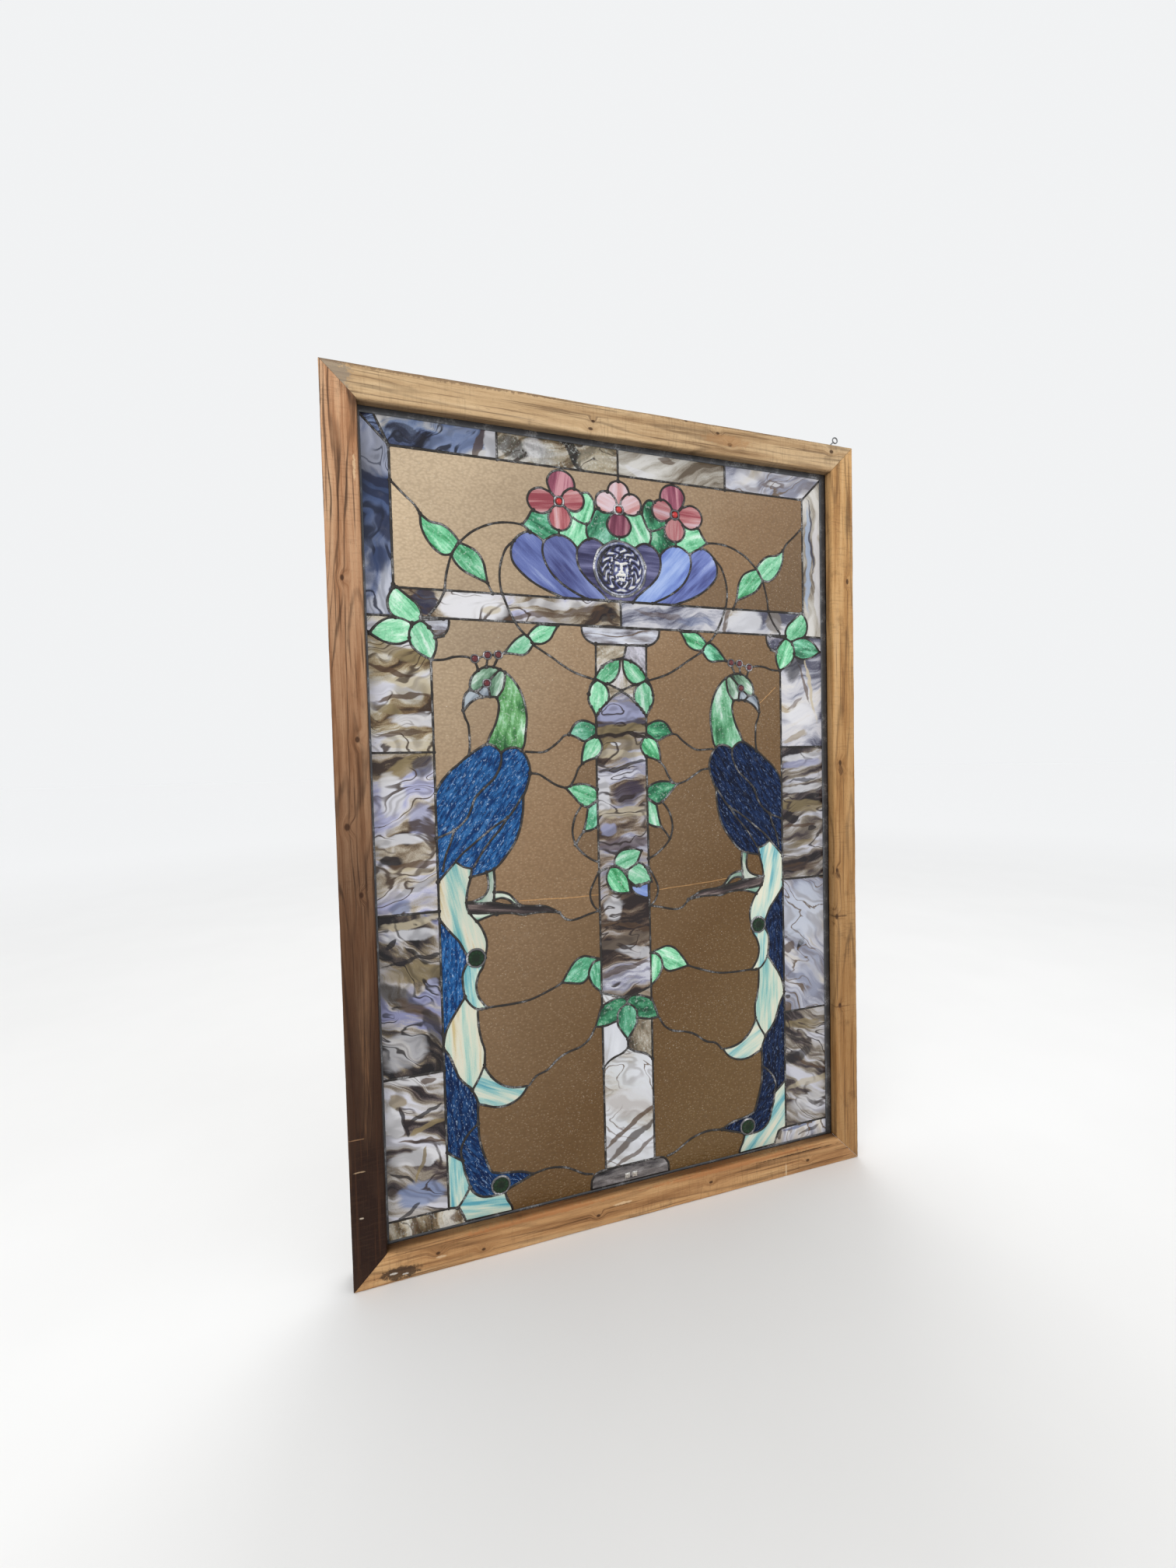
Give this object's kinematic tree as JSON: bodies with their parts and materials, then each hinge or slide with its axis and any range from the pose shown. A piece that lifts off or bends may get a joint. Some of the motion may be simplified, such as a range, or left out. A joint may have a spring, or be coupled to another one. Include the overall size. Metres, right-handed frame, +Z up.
{
  "type": "stained glass window",
  "caption": "Rectangular leaded stained glass window in a mitred wood frame, with coloured opalescent panes forming two birds, a column and flowers.",
  "frame": {"origin": "middle of the underside of the bottom rail, half way through the frame's depth", "axes": "+Z up, +X to the viewer's right when looking at the front, +Y from the front to the back"},
  "size_m": [0.806, 0.038, 1.2191],
  "materials": {
    "wood_top": "weathered",
    "wood_bottom": "weathered",
    "wood_left": "weathered",
    "wood_right": "weathered",
    "stop_wood": "plain",
    "screw_steel": "worn",
    "lead_came": "dull lead",
    "solder": "dark patina",
    "amber_glass": "hammered",
    "border_glass": "streaky opalescent",
    "violet_glass": "streaky",
    "rose_glass": "streaky",
    "green_glass": "streaky",
    "cobalt_glass": "rippled",
    "tail_glass": "streaky",
    "dark_green_glass": "pressed",
    "column_glass": "swirled opalescent",
    "rondel_glass": "pressed"
  },
  "bodies": {
    "root": {"frame_top_rail": "wood_top", "frame_bottom_rail": "wood_bottom", "frame_left_stile": "wood_left", "frame_right_stile": "wood_right", "stop_top": "stop_wood", "stop_bottom": "stop_wood", "stop_left": "stop_wood", "stop_right": "stop_wood", "screw_eye": "screw_steel", "border_came": "lead_came", "solder_net": "solder", "amber_upper_left": "amber_glass", "amber_ground_left": "amber_glass", "amber_crown_left": "amber_glass", "border_upper_left": "border_glass", "band_left": "border_glass", "border_side_1_left": "border_glass", "border_side_2_left": "border_glass", "border_side_3_left": "border_glass", "border_side_4_left": "border_glass", "border_top_inner_left": "border_glass", "border_top_outer_left": "border_glass", "bowl_left": "violet_glass", "flower_left": "rose_glass", "corner_leaves_left": "green_glass", "peacock_head_left": "green_glass", "peacock_body_left": "cobalt_glass", "peacock_train_left": "tail_glass", "roundel_left_1": "dark_green_glass", "roundel_left_2": "dark_green_glass", "amber_upper_right": "amber_glass", "amber_ground_right": "amber_glass", "amber_crown_right": "amber_glass", "border_upper_right": "border_glass", "band_right": "border_glass", "border_side_1_right": "border_glass", "border_side_2_right": "border_glass", "border_side_3_right": "border_glass", "border_side_4_right": "border_glass", "border_top_inner_right": "border_glass", "border_top_outer_right": "border_glass", "bowl_right": "violet_glass", "flower_right": "rose_glass", "corner_leaves_right": "green_glass", "peacock_head_right": "green_glass", "peacock_body_right": "cobalt_glass", "peacock_train_right": "tail_glass", "roundel_right_1": "dark_green_glass", "roundel_right_2": "dark_green_glass", "flower_greens": "green_glass", "column_wreath": "green_glass", "column_leaves": "green_glass", "flower_middle": "rose_glass", "column_neck": "column_glass", "column_shaft": "column_glass", "column_foot": "column_glass", "column_capital": "column_glass", "column_base": "column_glass", "lion_rondel": "rondel_glass"}
  },
  "joints": []
}
